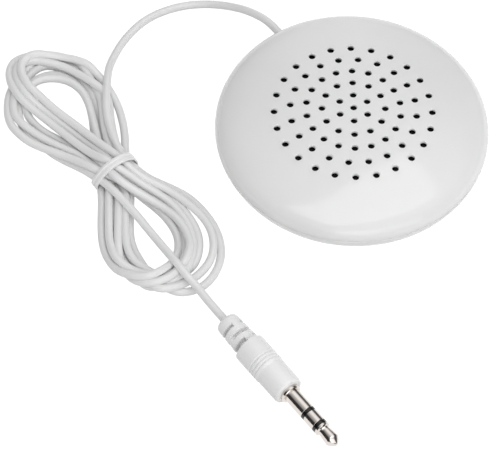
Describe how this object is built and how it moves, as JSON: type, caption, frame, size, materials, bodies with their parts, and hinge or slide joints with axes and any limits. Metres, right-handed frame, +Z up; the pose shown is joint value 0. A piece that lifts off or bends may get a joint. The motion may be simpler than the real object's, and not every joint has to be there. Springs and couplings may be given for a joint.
{
  "type": "pillow speaker",
  "caption": "Flat round speaker for use under a pillow, with a perforated grille crown, and a thin cord in a tied hank that ends in a stereo jack plug.",
  "frame": {"origin": "Centre of the round housing's flat base, on the surface that it stands on.", "axes": "+Z runs up through the middle of the grille. +Y is the direction of the grille's straight column of holes, away from the viewer of the picture, and +X is to that viewer's right. The cord leaves the rim at the far left."},
  "size_m": [0.1074, 0.1172, 0.0152],
  "materials": {
    "housing": "gloss",
    "screw_steel": "satin",
    "cloth": "matte",
    "card": "matte",
    "film": "gloss",
    "coil_copper": "satin",
    "pressed_steel": "satin",
    "magnet_plating": "gloss",
    "foam": "matte",
    "board": "matte",
    "tab_metal": "satin",
    "wire_red": "satin",
    "wire_black": "satin",
    "cord_jacket": "satin",
    "tie_band": "satin",
    "plug_moulding": "satin",
    "pin_metal": "gloss",
    "pin_insulator": "gloss"
  },
  "bodies": {
    "root": {"front_cover": "housing", "rear_cover": "housing", "cover_screws": "screw_steel", "dust_cloth": "cloth", "driver_gasket": "card", "driver_diaphragm": "film", "voice_coil": "coil_copper", "driver_basket": "pressed_steel", "driver_yoke": "pressed_steel", "driver_magnet": "magnet_plating", "pole_plate": "pressed_steel", "backing_pad": "foam", "terminal_board": "board", "solder_tabs": "tab_metal", "lead_wire_left": "wire_red", "lead_wire_right": "wire_black", "cord_stop": "cord_jacket", "cord_lead": "cord_jacket", "cord_tail": "cord_jacket", "cord_hank": "cord_jacket", "hank_tie": "tie_band", "plug_overmould": "plug_moulding", "jack_shaft": "pin_metal", "jack_insulator_rear": "pin_insulator", "jack_contact_ring": "pin_metal", "jack_insulator_front": "pin_insulator", "jack_tip": "pin_metal"}
  },
  "joints": []
}
